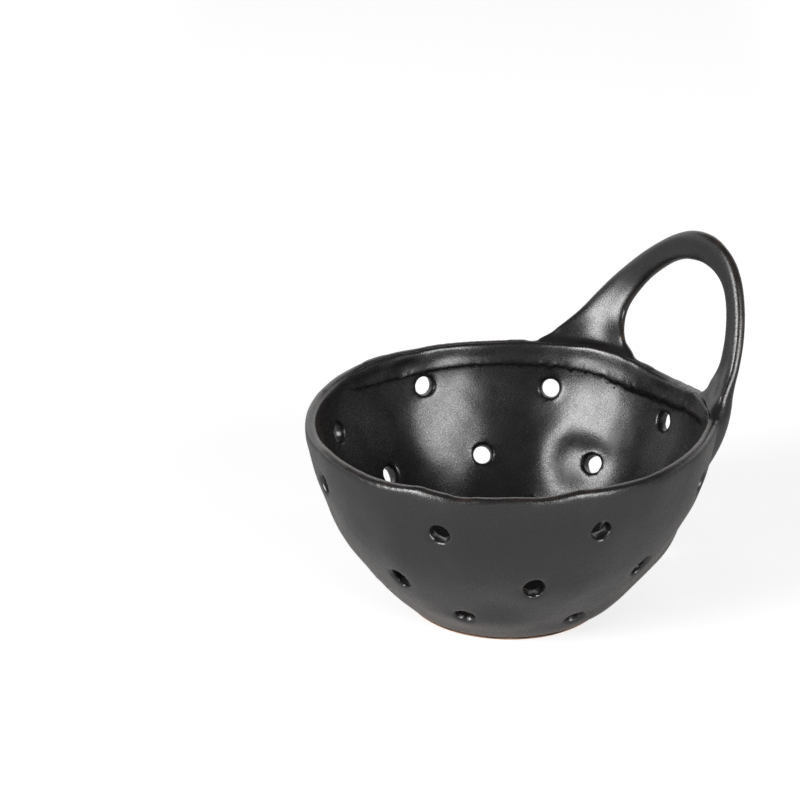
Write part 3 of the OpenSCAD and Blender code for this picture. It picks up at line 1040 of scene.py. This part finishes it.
def add_softbox(name, azimuth, elevation, distance, size, radiance):
    """A lamp that faces the bowl and isn't seen itself."""
    data = bpy.data.lights.new(name, "AREA")
    data.shape = "RECTANGLE"
    data.size, data.size_y = size
    data.energy = radiance * pi * size[0] * size[1]
    lamp = bpy.data.objects.new(name, data)
    a, e = radians(azimuth), radians(elevation)
    towards = turned @ Vector((sin(a) * cos(e), -cos(a) * cos(e), sin(e)))
    lamp.location = SOFTBOX_AIM + towards * distance
    lamp.rotation_mode = "QUATERNION"
    lamp.rotation_quaternion = towards.to_track_quat("Z", "Y")
    lamp.visible_camera = False
    bpy.context.scene.collection.objects.link(lamp)


def white_floor():
    """Floor that the camera sees as a white page, and the glaze as a dim one."""
    mat, tree = new_material("white_floor")
    path = new_node(tree, "ShaderNodeLightPath").outputs
    mirrored = calc(tree, "MULTIPLY", path["Is Glossy Ray"], FLOOR_MIRRORED)
    seen = calc(tree, "MAXIMUM", path["Is Camera Ray"], mirrored)
    seen = calc(tree, "MAXIMUM", seen, path["Is Transmission Ray"])
    place = new_node(tree, "ShaderNodeTexCoord").outputs["Object"]
    across = reach_along(tree, place, (1, 0, 0))
    across = new_node(tree, "ShaderNodeMath", {0: across}, operation="ABSOLUTE").outputs[0]
    aside = ramp(tree, across, *FLOOR_ASIDE, kind="SMOOTHSTEP")
    colour = mix_colour(tree, aside, FLOOR_PALE, FLOOR_DIM)
    lift = calc(tree, "MULTIPLY", seen, multiply_add(tree, aside, ASIDE_LIFT, FLOOR_LIFT))
    shader = new_node(tree, "ShaderNodeBsdfPrincipled", {
        "Base Color": colour, "Roughness": 0.9, "Specular IOR Level": 0.0,
        "Emission Color": (1, 1, 1, 1), "Emission Strength": lift})
    new_node(tree, "ShaderNodeOutputMaterial", {"Surface": shader.outputs[0]})
    return mat


def add_floor():
    bm = bmesh.new()
    bmesh.ops.create_grid(
        bm, x_segments=1, y_segments=1, size=FLOOR_SIZE / 2, matrix=Matrix.Translation((0, 0, -FLOOR_GAP)))
    mesh = bpy.data.meshes.new("floor")
    bm.to_mesh(mesh)
    bm.free()
    floor = bpy.data.objects.new("floor", mesh)
    bpy.context.scene.collection.objects.link(floor)
    mesh.materials.append(white_floor())


def add_world():
    """A white horizon, rising behind the bowl, under a dim ceiling."""
    world = bpy.data.worlds.new("studio")
    world.use_nodes = True
    tree = world.node_tree
    background = tree.nodes["Background"]
    place = new_node(tree, "ShaderNodeTexCoord").outputs["Generated"]
    up = new_node(tree, "ShaderNodeSeparateXYZ", {0: place}).outputs["Z"]
    behind = reach_along(tree, place, (0, 1, 0))
    over = calc(tree, "SUBTRACT", up, ramp(tree, behind, *HORIZON_RISE))
    white = calc(tree, "MULTIPLY", ramp(tree, over, *HORIZON_BAND), ramp(tree, behind, *NEAR_SIDE))
    tree.links.new(calc(tree, "MAXIMUM", white, CEILING), background.inputs["Strength"])
    background.inputs["Color"].default_value = (1, 1, 1, 1)
    bpy.context.scene.world = world


add_camera()
build_pot()
add_floor()
add_world()
for name, values in SOFTBOXES.items():
    add_softbox(name, *values)
bpy.context.scene.view_settings.view_transform = "Standard"
